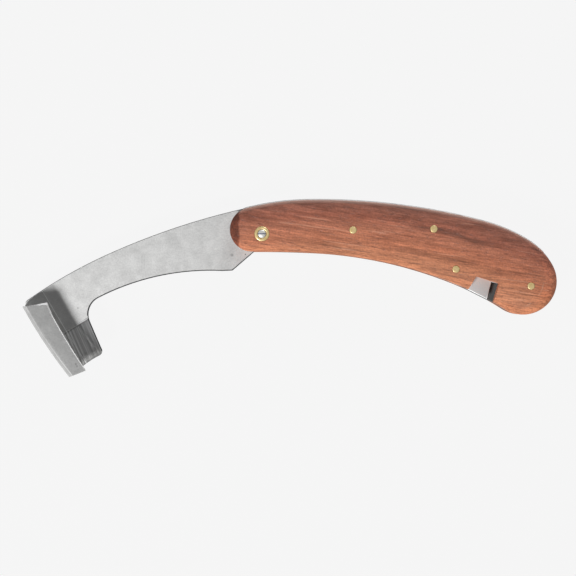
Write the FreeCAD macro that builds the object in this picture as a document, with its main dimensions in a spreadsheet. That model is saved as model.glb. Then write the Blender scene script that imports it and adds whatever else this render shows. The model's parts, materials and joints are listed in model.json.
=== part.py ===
import FreeCAD, Part
import Sketcher
import math
import os

# Folding hook knife (timber scribe), lying on its back scale with the blade open.
# X runs along the tool, Y across it, Z up through its thickness.  Every outline is
# drawn about the blade pivot; place_parts() then moves all sub-parts together so
# that the origin sits under the middle of the whole tool.

SHEET = [
    # layers, measured up and down from the middle of the blade
    ("blade_thick", 2.0, "thickness of the blade steel"),
    ("hook_thick", 1.4, "thickness of the bent hook wall and leg"),
    ("hook_gap", 6.3, "open height inside the hook channel"),
    ("slot_half", 1.1, "half the gap between the liners"),
    ("liner_thick", 1.2, "thickness of one liner"),
    ("scale_thick", 6.2, "thickness of one wooden scale"),
    ("scale_round", 2.6, "rounding of the outer edge of a scale"),
    ("wood_inset", 0.6, "how far the steel stands out of the wood along the spine"),
    # handle spine, from the front end round the butt
    ("spine_x", -6.2, "start of the spine beside the blade"),
    ("spine_y", 10.25, "height of the spine at its start"),
    ("spine_aim", 14.2, "slope of the spine at its start"),
    ("spine_front_r", 106.0, "spine radius over the pivot"),
    ("spine_front_sweep", 13.3, "turn of that arc"),
    ("spine_long_r", 260.0, "spine radius along the grip"),
    ("spine_long_sweep", 15.6, "turn of that arc"),
    ("spine_rear_r", 66.0, "spine radius towards the butt"),
    ("spine_rear_sweep", 16.4, "turn of that arc"),
    ("spine_end_r", 27.0, "spine radius falling to the butt"),
    ("spine_end_sweep", 30.0, "turn of that arc"),
    ("bulb_r", 13.2, "radius of the bulb"),
    ("bulb_sweep", 152.0, "turn of the bulb"),
    ("neck_r", 105.0, "hollow radius behind the bulb"),
    ("neck_sweep", 9.7, "turn of that arc"),
    ("belly_r", 173.0, "hollow radius under the grip"),
    ("belly_sweep", 20.7, "turn of that arc"),
    ("throat_r", 460.0, "hollow radius under the pivot"),
    ("front_end_r", 8.6, "liner radius at the rounded front end"),
    # liner lower edge, just inside the wood
    ("liner_front_x", -6.35, "front end of the liner spine"),
    ("liner_front_y", 10.83, "height there"),
    ("liner_bulb_x", 103.0, "lowest point of the liner bulb"),
    ("liner_bulb_y", -31.7, "height there"),
    ("liner_neck_x", 94.0, "liner edge behind the bulb"),
    ("liner_neck_y", -28.2, "height there"),
    ("liner_hollow_x", 80.4, "liner edge at the hollow"),
    ("liner_hollow_y", -21.3, "height there"),
    ("liner_throat_x", 20.0, "liner edge ahead of the hollow"),
    ("liner_throat_y", -7.3, "height there"),
    ("liner_chin_x", -4.0, "liner edge under the pivot"),
    ("liner_chin_y", -6.7, "height there"),
    ("liner_brow_x", -9.6, "top of the rounded liner front"),
    ("liner_brow_y", 8.3, "height there"),
    ("bulb_low_r", 14.0, "liner radius under the bulb"),
    # pins and pivot
    ("pin_r", 1.5, "radius of the handle pins"),
    ("pin_proud", 0.12, "how far the pin heads stand out in front"),
    ("middle_pin_x", 36.0, "front handle pin"),
    ("middle_pin_y", 1.5, "front handle pin"),
    ("spring_pin_x", 67.9, "middle handle pin"),
    ("spring_pin_y", 1.9, "middle handle pin"),
    ("stop_pin_x", 76.7, "pin beside the closed hook"),
    ("stop_pin_y", -13.9, "pin beside the closed hook"),
    ("butt_pin_x", 106.3, "pin in the bulb"),
    ("butt_pin_y", -20.6, "pin in the bulb"),
    ("pivot_r", 1.65, "radius of the pivot pin"),
    ("pivot_play", 0.05, "gap round the pivot pin inside the blade"),
    ("pivot_dome", 0.35, "height of the domed pivot head"),
    ("collar_r", 3.0, "outer radius of the pivot collars"),
    ("collar_proud", 0.25, "how far the front collar stands out"),
    ("collar_round", 0.5, "rounding of the front collar"),
    # notch for the closed hook
    ("notch_in_x", 84.7, "inner left corner of the notch"),
    ("notch_in_y", -16.7, "inner left corner of the notch"),
    ("notch_wide_x", 94.0, "inner right corner of the notch"),
    ("notch_wide_y", -19.6, "inner right corner of the notch"),
    ("notch_right_x", 90.5, "mouth of the notch, right"),
    ("notch_right_y", -31.0, "mouth of the notch, right"),
    ("notch_left_x", 79.0, "mouth of the notch, left"),
    ("notch_left_y", -27.0, "mouth of the notch, left"),
    # slot in the front liner that the hook wall drops into, on arcs about the pivot
    ("wall_slot_in", 93.3, "inner radius of the slot"),
    ("wall_slot_out", 96.3, "outer radius of the slot"),
    ("wall_slot_top_x", 91.33, "inner end of the slot"),
    ("wall_slot_top_y", -19.08, "inner end of the slot"),
    ("wall_slot_far_x", 94.27, "inner end of the slot, far side"),
    ("wall_slot_far_y", -19.69, "inner end of the slot, far side"),
    ("wall_slot_low_x", 88.48, "mouth of the slot"),
    ("wall_slot_low_y", -29.6, "mouth of the slot"),
    ("wall_slot_out_x", 91.32, "mouth of the slot, far side"),
    ("wall_slot_out_y", -30.56, "mouth of the slot, far side"),
    # back spring underside
    ("tongue_x", -7.55, "free end of the spring"),
    ("tongue_y", 6.7, "underside of the spring over the tang"),
    ("tongue_top", 10.45, "top of the free end"),
    ("tongue_end_x", 11.5, "where the tongue thickens"),
    ("stop_x", 14.5, "closed stop, front"),
    ("stop_y", 1.3, "closed stop, front"),
    ("stop_end_x", 21.0, "closed stop, rear"),
    ("stop_end_y", 0.2, "closed stop, rear"),
    ("knee_x", 27.5, "deepest point before the first pin"),
    ("knee_y", -3.6, "deepest point before the first pin"),
    ("waist_x", 44.0, "spring underside at the grip"),
    ("waist_y", -3.4, "spring underside at the grip"),
    ("hip_x", 72.0, "spring underside past the middle pin"),
    ("hip_y", -4.4, "spring underside past the middle pin"),
    ("waist_r", 260.0, "radius between those two"),
    ("bay_x", 92.0, "top of the bay for the closed hook"),
    ("bay_y", -16.2, "top of the bay for the closed hook"),
    ("bay_low_x", 98.6, "lower corner of the bay"),
    ("bay_low_y", -29.6, "lower corner of the bay"),
    ("bay_r", 24.0, "radius of the bay"),
    # blade plate
    ("shoulder_x", -7.7, "face that meets the spring"),
    ("shoulder_y", 10.3, "top of the shoulder"),
    ("ledge_y", 6.55, "ledge under the spring"),
    ("ledge_x", -1.5, "end of the ledge on the tang"),
    ("back_mid_x", -63.3, "back of the arm, middle"),
    ("back_mid_y", -8.6, "back of the arm, middle"),
    ("back_end_x", -93.4, "back of the arm, far end"),
    ("back_end_y", -25.9, "back of the arm, far end"),
    ("back_near_r", 286.0, "radius of the back near the handle"),
    ("back_far_r", 196.0, "radius of the back near the hook"),
    ("hook_top_x", -94.8, "outer corner of the hook, top"),
    ("hook_top_y", -28.7, "outer corner of the hook, top"),
    ("hook_low_x", -76.2, "outer corner of the hook, cutting end"),
    ("hook_low_y", -56.7, "outer corner of the hook, cutting end"),
    ("hook_corner_r", 2.6, "rounding of the far corner"),
    ("hook_bow_r", 200.0, "bow of the hook wall"),
    ("edge_x", -65.4, "cutting edge, free end"),
    ("edge_y", -48.5, "cutting edge, free end"),
    ("edge_r", 40.0, "radius of the cutting edge"),
    ("trim_y", -60.0, "clear of the hook beyond the cutting edge"),
    ("nose_x", -64.1, "free side of the plate, cutting end"),
    ("nose_y", -46.2, "free side of the plate, cutting end"),
    ("nose_r", 2.0, "rounding beside the cutting edge"),
    ("crook_x", -69.0, "free side of the plate, crook"),
    ("crook_y", -34.7, "free side of the plate, crook"),
    ("crook_r", 7.4, "radius of the crook"),
    ("arch_x", -65.5, "start of the arched lower edge"),
    ("arch_y", -25.3, "start of the arched lower edge"),
    ("arch_r", 98.0, "radius of the arched lower edge"),
    ("arch_end_x", -16.0, "end of the arched lower edge"),
    ("arch_end_y", -14.6, "end of the arched lower edge"),
    ("heel_x", -11.9, "heel corner"),
    ("heel_y", -14.4, "heel corner"),
    ("tang_r", 6.55, "radius of the tang"),
    ("tang_x", -2.3, "where the heel edge meets the tang"),
    ("tang_y", -6.13, "where the heel edge meets the tang"),
    # hook leg, and the channel cut beside its wall
    ("leg_top_x", -85.0, "free corner of the leg, top"),
    ("leg_top_y", -28.1, "free corner of the leg, top"),
    ("leg_low_x", -69.5, "free corner of the leg, cutting end"),
    ("leg_low_y", -54.0, "free corner of the leg, cutting end"),
    ("leg_bow_r", 260.0, "bow of the free side of the leg"),
    ("channel_top_x", -94.8, "side of the channel, past the top end"),
    ("channel_top_y", -26.2, "side of the channel, past the top end"),
    ("channel_low_x", -73.9, "side of the channel, past the cutting end"),
    ("channel_low_y", -57.6, "side of the channel, past the cutting end"),
    ("channel_out_x", -60.0, "free side of the channel"),
    ("bend_outer_r", 1.9, "outer bend radius of the hook"),
    ("bend_inner_r", 0.8, "inner bend radius of the hook"),
    # ground bevel inside the hook
    ("grind_x", -82.9, "start of the ground bevel, beside the wall"),
    ("grind_y", -41.2, "start of the ground bevel, beside the wall"),
    ("grind_turn", -59.1, "heading of the channel"),
    ("grind_long", 17.0, "length covered by the grinding"),
    ("grind_fall", 1.8, "depth reached at the end of that length"),
    ("grind_wide", 26.0, "width covered by the grinding"),
]


GUIDE_LENGTH = 5.0  # construction line that carries a starting slope
THROAT_GUESS = 3.0  # first guess, in degrees, for the turn the solver settles
NEAR = 1e-3
LEVEL = 1e-5
LEAST_CUT = 1e-6


class Term:
    """A driving value together with the expression that reaches it."""

    def __init__(self, value, text):
        self.value = value
        self.text = text

    def __add__(self, other):
        return Term(self.value + other.value, self.text + " + " + other.text)

    def __sub__(self, other):
        return Term(self.value - other.value, self.text + " - " + other.text)


VALUES = {name: value for name, value, _ in SHEET}


def dim(name):
    """One cell of the sheet."""
    return Term(VALUES[name], "dims." + name)


def dims(*names):
    """Several cells added together."""
    total = dim(names[0])
    for name in names[1:]:
        total = total + dim(name)
    return total


def make_sheet(doc):
    """Write the driving dimensions."""
    sheet = doc.addObject("Spreadsheet::Sheet", "dims")
    sheet.Label = "dims"
    for row, (name, value, note) in enumerate(SHEET, start=1):
        sheet.set("A%d" % row, name)
        sheet.set("B%d" % row, repr(value))
        sheet.set("C%d" % row, note)
        sheet.setAlias("B%d" % row, name)
    doc.recompute()
    return sheet


def make_body(doc, label):
    """An empty body named like its node."""
    body = doc.addObject("PartDesign::Body", label)
    body.Label = label
    return body


def origin_plane(body, role):
    """One of the body's own origin planes."""
    for feature in body.Origin.OriginFeatures:
        if feature.Role == role:
            return feature
    raise RuntimeError("no origin plane " + role)


def make_sketch(body, name, height=None):
    """A sketch on the body's XY plane, lifted to a height from the sheet."""
    sketch = body.newObject("Sketcher::SketchObject", name)
    sketch.AttachmentSupport = [(origin_plane(body, "XY_Plane"), "")]
    sketch.MapMode = "FlatFace"
    if height is not None:
        lift = FreeCAD.Vector(0, 0, height.value)
        sketch.AttachmentOffset = FreeCAD.Placement(lift, FreeCAD.Rotation())
        sketch.setExpression("AttachmentOffset.Base.z", height.text)
    return sketch


class Profile:
    """Draws one closed outline whose corners, radii and turns follow the sheet."""

    def __init__(self, sketch):
        self.sketch = sketch
        self.corner = None
        self.point = None
        self.heading = 0.0
        self.last = None
        self.first = None

    def bind(self, args, term, unit=""):
        value = math.radians(term.value) if unit else term.value
        index = self.sketch.addConstraint(Sketcher.Constraint(*args, value))
        name = "rule_%s_%d" % (self.sketch.Name, index)
        self.sketch.renameConstraint(index, name)
        text = "(" + term.text + ")" + unit
        self.sketch.setExpression("Constraints." + name, text)

    def fix_point(self, geo, pos, x, y):
        self.bind(("DistanceX", geo, pos), x)
        self.bind(("DistanceY", geo, pos), y)

    def start(self, x, y, aim=None):
        """First corner, with an optional starting slope."""
        self.point = (x.value, y.value)
        self.corner = (x, y)
        if aim is None:
            return
        self.heading = math.radians(aim.value)
        corner = FreeCAD.Vector(*self.point, 0)
        ahead = FreeCAD.Vector(math.cos(self.heading), math.sin(self.heading), 0)
        line = Part.LineSegment(corner - ahead * GUIDE_LENGTH, corner)
        guide = self.sketch.addGeometry(line, True)
        self.fix_point(guide, 2, x, y)
        self.sketch.addConstraint(Sketcher.Constraint("Distance", guide, GUIDE_LENGTH))
        self.bind(("Angle", guide), aim, " * 1 deg")
        self.last = (guide, 2)

    def join(self, geo, head, smooth):
        """Tie the start of a new edge to the end of the one before."""
        if self.last is None:
            self.fix_point(geo, head, *self.corner)
        elif smooth:
            self.sketch.addConstraint(Sketcher.Constraint("Tangent", *self.last, geo, head))
        else:
            self.sketch.addConstraint(Sketcher.Constraint("Coincident", *self.last, geo, head))
        if self.first is None:
            self.first = (geo, head)

    def line(self, x, y):
        end = (x.value, y.value)
        edge = Part.LineSegment(FreeCAD.Vector(*self.point, 0), FreeCAD.Vector(*end, 0))
        geo = self.sketch.addGeometry(edge, False)
        self.join(geo, 1, False)
        self.fix_point(geo, 2, x, y)
        self.heading = math.atan2(end[1] - self.point[1], end[0] - self.point[0])
        self.point = end
        self.last = (geo, 2)

    def add_arc(self, centre, radius, end, turn):
        """Arc from the current point to end; turn is +1 to the left, -1 to the right."""
        here = math.atan2(self.point[1] - centre[1], self.point[0] - centre[0])
        there = math.atan2(end[1] - centre[1], end[0] - centre[0])
        circle = Part.Circle(FreeCAD.Vector(*centre, 0), FreeCAD.Vector(0, 0, 1), radius)
        low, high = (here, there) if turn > 0 else (there, here)
        while high <= low:
            high += 2 * math.pi
        geo = self.sketch.addGeometry(Part.ArcOfCircle(circle, low, high), False)
        self.point = end
        self.heading = there + turn * math.pi / 2
        return geo, (1 if turn > 0 else 2), (2 if turn > 0 else 1)

    def centre_of(self, radius, turn):
        side = self.heading + turn * math.pi / 2
        return (self.point[0] + radius * math.cos(side), self.point[1] + radius * math.sin(side))

    def bend(self, radius, sweep, turn, about=0.0):
        """Arc running on smoothly through a radius and turn; without a turn it settles."""
        centre = self.centre_of(radius.value, turn)
        angle = math.atan2(self.point[1] - centre[1], self.point[0] - centre[0])
        angle += turn * math.radians(sweep.value if sweep else about)
        end = (centre[0] + radius.value * math.cos(angle), centre[1] + radius.value * math.sin(angle))
        geo, head, tail = self.add_arc(centre, radius.value, end, turn)
        self.join(geo, head, True)
        self.bind(("Radius", geo), radius)
        if sweep:
            self.bind(("Angle", geo), sweep, " * 1 deg")
        self.last = (geo, tail)

    def arc(self, x, y, radius, turn):
        """Arc of given radius to a given corner, never more than half a turn."""
        end = (x.value, y.value)
        dx = end[0] - self.point[0]
        dy = end[1] - self.point[1]
        chord = math.hypot(dx, dy)
        rise = math.sqrt(max(radius.value ** 2 - chord ** 2 / 4, 0.0)) * turn
        centre = (self.point[0] + dx / 2 - dy / chord * rise, self.point[1] + dy / 2 + dx / chord * rise)
        geo, head, tail = self.add_arc(centre, radius.value, end, turn)
        self.join(geo, head, False)
        self.fix_point(geo, tail, x, y)
        self.bind(("Radius", geo), radius)
        self.last = (geo, tail)

    def run_to(self, x, y, turn, closing=False):
        """Arc leaving smoothly and ending at a given corner, or closing smoothly."""
        end = (x.value, y.value)
        dx = end[0] - self.point[0]
        dy = end[1] - self.point[1]
        lean = math.atan2(dy, dx) - self.heading
        radius = math.hypot(dx, dy) / 2 / abs(math.sin(lean))
        centre = self.centre_of(radius, turn)
        geo, head, tail = self.add_arc(centre, radius, end, turn)
        self.join(geo, head, True)
        if closing:
            self.sketch.addConstraint(Sketcher.Constraint("Tangent", geo, tail, *self.first))
        else:
            self.fix_point(geo, tail, x, y)
        self.last = (geo, tail)

    def around(self, x, y, radius, turn):
        """Arc about the pivot to a given corner, on either side of half a turn."""
        geo, head, tail = self.add_arc((0.0, 0.0), radius.value, (x.value, y.value), turn)
        self.join(geo, head, False)
        self.bind(("DistanceX", geo, tail), x)
        self.sketch.addConstraint(Sketcher.Constraint("Coincident", geo, 3, -1, 1))
        self.last = (geo, tail)

    def close(self):
        """Straight edge back to the first corner."""
        start = self.corner
        end = (start[0].value, start[1].value)
        edge = Part.LineSegment(FreeCAD.Vector(*self.point, 0), FreeCAD.Vector(*end, 0))
        geo = self.sketch.addGeometry(edge, False)
        self.join(geo, 1, False)
        self.sketch.addConstraint(Sketcher.Constraint("Coincident", geo, 2, *self.first))


def circle(sketch, radius, centre=None):
    """A circle of given radius about a given centre, or about the pivot."""
    profile = Profile(sketch)
    x, y = (centre[0].value, centre[1].value) if centre else (0.0, 0.0)
    shape = Part.Circle(FreeCAD.Vector(x, y, 0), FreeCAD.Vector(0, 0, 1), radius.value)
    geo = sketch.addGeometry(shape, False)
    if centre:
        profile.fix_point(geo, 3, *centre)
    else:
        sketch.addConstraint(Sketcher.Constraint("Coincident", geo, 3, -1, 1))
    profile.bind(("Radius", geo), radius)


def pin_centre(pin):
    """Where a handle pin stands."""
    return dim(pin + "_x"), dim(pin + "_y")


def pad(body, sketch, length, name):
    """Raise a sketch upwards."""
    feature = body.newObject("PartDesign::Pad", name)
    feature.Profile = sketch
    feature.Length = length.value
    feature.setExpression("Length", length.text)
    sketch.Visibility = False
    return feature


def pocket(body, sketch, length, name):
    """Cut a sketch downwards."""
    before = body.Tip.Shape.Volume
    feature = body.newObject("PartDesign::Pocket", name)
    feature.Profile = sketch
    feature.Length = length.value
    feature.setExpression("Length", length.text)
    sketch.Visibility = False
    body.Document.recompute()
    if not feature.Shape.Volume < before - LEAST_CUT:
        raise RuntimeError(name + " removed nothing")
    return feature


def round_edges(body, base, names, radius, label):
    """Round the named edges of the feature before."""
    feature = body.newObject("PartDesign::Fillet", label)
    feature.Base = (base, names)
    feature.Radius = radius.value
    feature.setExpression("Radius", radius.text)
    body.Document.recompute()
    return feature


def edges_where(shape, test):
    """Names of the edges that pass a test."""
    names = []
    for number, edge in enumerate(shape.Edges, start=1):
        if test(edge):
            names.append("Edge%d" % number)
    return names


def flat_at(edge, height):
    """Whether a whole edge lies at one height."""
    box = edge.BoundBox
    return abs(box.ZMin - height) < LEVEL and abs(box.ZMax - height) < LEVEL


def draw_spine(profile, outset):
    """The four arcs of the spine, shared by wood and steel."""
    profile.bend(dim("spine_front_r") + outset, dim("spine_front_sweep"), -1)
    profile.bend(dim("spine_long_r") + outset, dim("spine_long_sweep"), -1)
    profile.bend(dim("spine_rear_r") + outset, dim("spine_rear_sweep"), -1)
    profile.bend(dim("spine_end_r") + outset, dim("spine_end_sweep"), -1)


def draw_wood(profile):
    """Outline of a wooden scale."""
    none = Term(0.0, "0")
    profile.start(dim("spine_x"), dim("spine_y"), dim("spine_aim"))
    draw_spine(profile, none)
    profile.bend(dim("bulb_r"), dim("bulb_sweep"), -1)
    profile.bend(dim("neck_r"), dim("neck_sweep"), 1)
    profile.bend(dim("belly_r"), dim("belly_sweep"), 1)
    profile.bend(dim("throat_r"), None, 1, about=THROAT_GUESS)
    profile.run_to(dim("spine_x"), dim("spine_y"), -1, closing=True)


def draw_liner(profile):
    """Outline of a liner: out past the wood on the spine, flush below."""
    profile.start(dim("liner_front_x"), dim("liner_front_y"), dim("spine_aim"))
    draw_spine(profile, dim("wood_inset"))
    profile.run_to(dim("liner_bulb_x"), dim("liner_bulb_y"), -1)
    profile.arc(dim("liner_neck_x"), dim("liner_neck_y"), dim("bulb_low_r"), -1)
    profile.line(dim("liner_hollow_x"), dim("liner_hollow_y"))
    profile.arc(dim("liner_throat_x"), dim("liner_throat_y"), dim("belly_r"), 1)
    profile.line(dim("liner_chin_x"), dim("liner_chin_y"))
    profile.arc(dim("liner_brow_x"), dim("liner_brow_y"), dim("front_end_r"), -1)
    profile.close()


def draw_notch(profile):
    """Outline of the notch that takes the closed hook."""
    profile.start(dim("notch_in_x"), dim("notch_in_y"))
    profile.line(dim("notch_wide_x"), dim("notch_wide_y"))
    profile.line(dim("notch_right_x"), dim("notch_right_y"))
    profile.line(dim("notch_left_x"), dim("notch_left_y"))
    profile.close()


def draw_wall_slot(profile):
    """Outline of the slot for the hook wall, between two arcs about the pivot."""
    profile.start(dim("wall_slot_low_x"), dim("wall_slot_low_y"))
    profile.arc(dim("wall_slot_top_x"), dim("wall_slot_top_y"), dim("wall_slot_in"), 1)
    profile.line(dim("wall_slot_far_x"), dim("wall_slot_far_y"))
    profile.arc(dim("wall_slot_out_x"), dim("wall_slot_out_y"), dim("wall_slot_out"), -1)
    profile.close()


PINS = ("middle_pin", "spring_pin", "stop_pin", "butt_pin")


def drill(body, height, depth, centre_radius, pins):
    """Pin holes and the pivot hole through a flat part."""
    sketch = make_sketch(body, body.Label + "_holes", height)
    for pin in pins:
        circle(sketch, dim("pin_r"), pin_centre(pin))
    if centre_radius is not None:
        circle(sketch, centre_radius)
    pocket(body, sketch, depth, body.Label + "_drilling")


def make_scale(doc, label, front):
    """A wooden scale; the front one is notched."""
    body = make_body(doc, label)
    inner = dims("slot_half", "liner_thick")
    outer = dims("slot_half", "liner_thick", "scale_thick")
    base = inner if front else Term(-outer.value, "-(" + outer.text + ")")
    top = outer if front else Term(-inner.value, "-(" + inner.text + ")")
    sketch = make_sketch(body, label + "_outline", base)
    draw_wood(Profile(sketch))
    block = pad(body, sketch, dim("scale_thick"), label + "_block")
    doc.recompute()
    face = top.value if front else base.value
    rim = edges_where(block.Shape, lambda edge: flat_at(edge, face))
    round_edges(body, block, rim, dim("scale_round"), label + "_rounding")
    drill(body, top, dim("scale_thick"), dim("collar_r"), PINS)
    if front:
        cut = make_sketch(body, label + "_notch_outline", top)
        draw_notch(Profile(cut))
        pocket(body, cut, dim("scale_thick"), label + "_notch")
    return body


def make_liner(doc, label, front):
    """A steel liner; the front one has a slot for the wall of the closed hook."""
    body = make_body(doc, label)
    outer = dims("slot_half", "liner_thick")
    base = dim("slot_half") if front else Term(-outer.value, "-(" + outer.text + ")")
    top = outer if front else Term(-VALUES["slot_half"], "-dims.slot_half")
    sketch = make_sketch(body, label + "_outline", base)
    draw_liner(Profile(sketch))
    pad(body, sketch, dim("liner_thick"), label + "_plate")
    doc.recompute()
    drill(body, top, dim("liner_thick"), dim("pivot_r"), PINS)
    if front:
        cut = make_sketch(body, label + "_wall_slot_outline", top)
        draw_wall_slot(Profile(cut))
        pocket(body, cut, dim("liner_thick"), label + "_wall_slot")
    return body


def make_spring(doc):
    """The back spring: tongue over the tang, closed stop, bay for the hook."""
    body = make_body(doc, "back_spring")
    low = Term(-VALUES["slot_half"], "-dims.slot_half")
    sketch = make_sketch(body, "spring_outline", low)
    profile = Profile(sketch)
    profile.start(dim("liner_front_x"), dim("liner_front_y"), dim("spine_aim"))
    draw_spine(profile, dim("wood_inset"))
    profile.run_to(dim("liner_bulb_x"), dim("liner_bulb_y"), -1)
    profile.line(dim("bay_low_x"), dim("bay_low_y"))
    profile.arc(dim("bay_x"), dim("bay_y"), dim("bay_r"), 1)
    profile.line(dim("hip_x"), dim("hip_y"))
    profile.arc(dim("waist_x"), dim("waist_y"), dim("waist_r"), 1)
    profile.line(dim("knee_x"), dim("knee_y"))
    profile.line(dim("stop_end_x"), dim("stop_end_y"))
    profile.line(dim("stop_x"), dim("stop_y"))
    profile.line(dim("tongue_end_x"), dim("tongue_y"))
    profile.line(dim("tongue_x"), dim("tongue_y"))
    profile.line(dim("tongue_x"), dim("tongue_top"))
    profile.close()
    width = dims("slot_half", "slot_half")
    pad(body, sketch, width, "spring_plate")
    doc.recompute()
    drill(body, dim("slot_half"), width, None, ("middle_pin", "spring_pin", "butt_pin"))
    return body


def draw_plate(profile):
    """Outline of the flat blade, from the shoulder round the hook to the tang."""
    profile.start(dim("shoulder_x"), dim("shoulder_y"))
    profile.arc(dim("back_mid_x"), dim("back_mid_y"), dim("back_near_r"), 1)
    profile.arc(dim("back_end_x"), dim("back_end_y"), dim("back_far_r"), 1)
    profile.arc(dim("hook_top_x"), dim("hook_top_y"), dim("hook_corner_r"), 1)
    profile.arc(dim("hook_low_x"), dim("hook_low_y"), dim("hook_bow_r"), 1)
    profile.arc(dim("edge_x"), dim("edge_y"), dim("edge_r"), -1)
    profile.arc(dim("nose_x"), dim("nose_y"), dim("nose_r"), 1)
    profile.line(dim("crook_x"), dim("crook_y"))
    profile.arc(dim("arch_x"), dim("arch_y"), dim("crook_r"), -1)
    profile.arc(dim("arch_end_x"), dim("arch_end_y"), dim("arch_r"), -1)
    profile.line(dim("heel_x"), dim("heel_y"))
    profile.line(dim("tang_x"), dim("tang_y"))
    profile.around(dim("ledge_x"), Term(VALUES["ledge_y"], "dims.ledge_y"), dim("tang_r"), 1)
    profile.line(dim("shoulder_x"), dim("ledge_y"))
    profile.close()


def draw_leg(profile):
    """Outline of the raised leg of the hook."""
    profile.start(dim("hook_top_x"), dim("hook_top_y"))
    profile.arc(dim("hook_low_x"), dim("hook_low_y"), dim("hook_bow_r"), 1)
    profile.line(dim("leg_low_x"), dim("leg_low_y"))
    profile.arc(dim("leg_top_x"), dim("leg_top_y"), dim("leg_bow_r"), -1)
    profile.close()


def draw_channel(profile):
    """Outline of the open space between plate and leg."""
    profile.start(dim("channel_top_x"), dim("channel_top_y"))
    profile.arc(dim("channel_low_x"), dim("channel_low_y"), dim("hook_bow_r"), 1)
    profile.line(dim("channel_out_x"), dim("channel_low_y"))
    profile.line(dim("channel_out_x"), dim("channel_top_y"))
    profile.close()


def draw_edge_trim(profile):
    """Outline of what is ground off the plate beyond the cutting edge."""
    profile.start(dim("hook_low_x"), dim("hook_low_y"))
    profile.arc(dim("edge_x"), dim("edge_y"), dim("edge_r"), -1)
    profile.line(dim("edge_x"), dim("trim_y"))
    profile.line(dim("hook_low_x"), dim("trim_y"))
    profile.close()


def bow_edges(shape, heights, outside):
    """Names of the level edges along the bow of the hook wall, outside or inside."""
    corner_x = VALUES["hook_top_x"]
    corner_y = VALUES["hook_top_y"]

    def fits(edge):
        if not any(flat_at(edge, height) for height in heights):
            return False
        if edge.Curve.TypeId != "Part::GeomCircle":
            return False
        if abs(edge.Curve.Radius - VALUES["hook_bow_r"]) > NEAR:
            return False
        gaps = [math.hypot(spot.X - corner_x, spot.Y - corner_y) for spot in edge.Vertexes]
        return (min(gaps) < NEAR) == outside

    return edges_where(shape, fits)


def make_blade(doc):
    """The one-piece blade: tang, arm, and the bent hook with its ground bevel."""
    body = make_body(doc, "hook_blade")
    half = Term(VALUES["blade_thick"] / 2, "dims.blade_thick / 2")
    low = Term(-half.value, "-dims.blade_thick / 2")
    leg_low = half + dim("hook_gap")
    plate = make_sketch(body, "plate_outline", low)
    draw_plate(Profile(plate))
    pad(body, plate, dim("blade_thick"), "plate")
    leg = make_sketch(body, "leg_outline", low)
    draw_leg(Profile(leg))
    pad(body, leg, dims("blade_thick", "hook_gap", "hook_thick"), "hook_block")
    doc.recompute()
    channel = make_sketch(body, "channel_outline", leg_low)
    draw_channel(Profile(channel))
    hook = pocket(body, channel, dim("hook_gap"), "channel")
    top = leg_low.value + VALUES["hook_thick"]
    outer = bow_edges(hook.Shape, (top, low.value), True)
    hook = round_edges(body, hook, outer, dim("bend_outer_r"), "outer_bend")
    inner = bow_edges(hook.Shape, (leg_low.value, half.value), False)
    round_edges(body, hook, inner, dim("bend_inner_r"), "inner_bend")
    trim = make_sketch(body, "edge_trim_outline", half)
    draw_edge_trim(Profile(trim))
    pocket(body, trim, dim("blade_thick"), "edge_trim")
    grind_blade(body, half)
    bore = make_sketch(body, "pivot_bore_outline", half)
    circle(bore, dims("pivot_r", "pivot_play"))
    pocket(body, bore, dim("blade_thick"), "pivot_bore")
    return body


def grind_blade(body, half):
    """Hollow wedge ground into the plate, running out at the cutting edge."""
    sketch = body.newObject("Sketcher::SketchObject", "grind_outline")
    sketch.AttachmentSupport = [(origin_plane(body, "XZ_Plane"), "")]
    sketch.MapMode = "FlatFace"
    turn = dim("grind_turn")
    place = FreeCAD.Vector(dim("grind_x").value, half.value, -dim("grind_y").value)
    spin = FreeCAD.Rotation(FreeCAD.Vector(0, 1, 0), turn.value)
    sketch.AttachmentOffset = FreeCAD.Placement(place, spin)
    sketch.setExpression("AttachmentOffset.Base.x", "dims.grind_x")
    sketch.setExpression("AttachmentOffset.Base.y", half.text)
    sketch.setExpression("AttachmentOffset.Base.z", "-dims.grind_y")
    sketch.setExpression("AttachmentOffset.Rotation.Angle", "dims.grind_turn * 1 deg")
    fall = Term(-VALUES["grind_fall"], "-dims.grind_fall")
    none = Term(0.0, "0")
    profile = Profile(sketch)
    profile.start(none, none)
    profile.line(dim("grind_long"), fall)
    profile.line(dim("grind_long"), none)
    profile.close()
    cut = body.newObject("PartDesign::Pocket", "ground_bevel")
    cut.Profile = sketch
    cut.Length = VALUES["grind_wide"]
    cut.setExpression("Length", "dims.grind_wide")
    sketch.Visibility = False
    body.Document.recompute()


def make_pin(doc, label):
    """A brass pin through scales, liners and whatever lies between them."""
    body = make_body(doc, label)
    reach = dims("slot_half", "liner_thick", "scale_thick")
    low = Term(-reach.value, "-(" + reach.text + ")")
    sketch = make_sketch(body, label + "_outline", low)
    circle(sketch, dim("pin_r"), pin_centre(label))
    rod = pad(body, sketch, reach + reach + dim("pin_proud"), label + "_rod")
    doc.recompute()
    height = reach.value + VALUES["pin_proud"]
    rim = edges_where(rod.Shape, lambda edge: flat_at(edge, height))
    round_edges(body, rod, rim, dim("pin_proud"), label + "_head")
    return body


def make_pivot(doc):
    """The steel pivot pin, domed in front, flush behind."""
    body = make_body(doc, "pivot_pin")
    reach = dims("slot_half", "liner_thick", "scale_thick")
    low = Term(-reach.value, "-(" + reach.text + ")")
    sketch = make_sketch(body, "pivot_outline", low)
    circle(sketch, dim("pivot_r"))
    length = reach + reach + dims("collar_proud", "pivot_dome")
    rod = pad(body, sketch, length, "pivot_rod")
    doc.recompute()
    height = reach.value + VALUES["collar_proud"] + VALUES["pivot_dome"]
    rim = edges_where(rod.Shape, lambda edge: flat_at(edge, height))
    round_edges(body, rod, rim, dim("pivot_dome"), "pivot_head")
    return body


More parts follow.
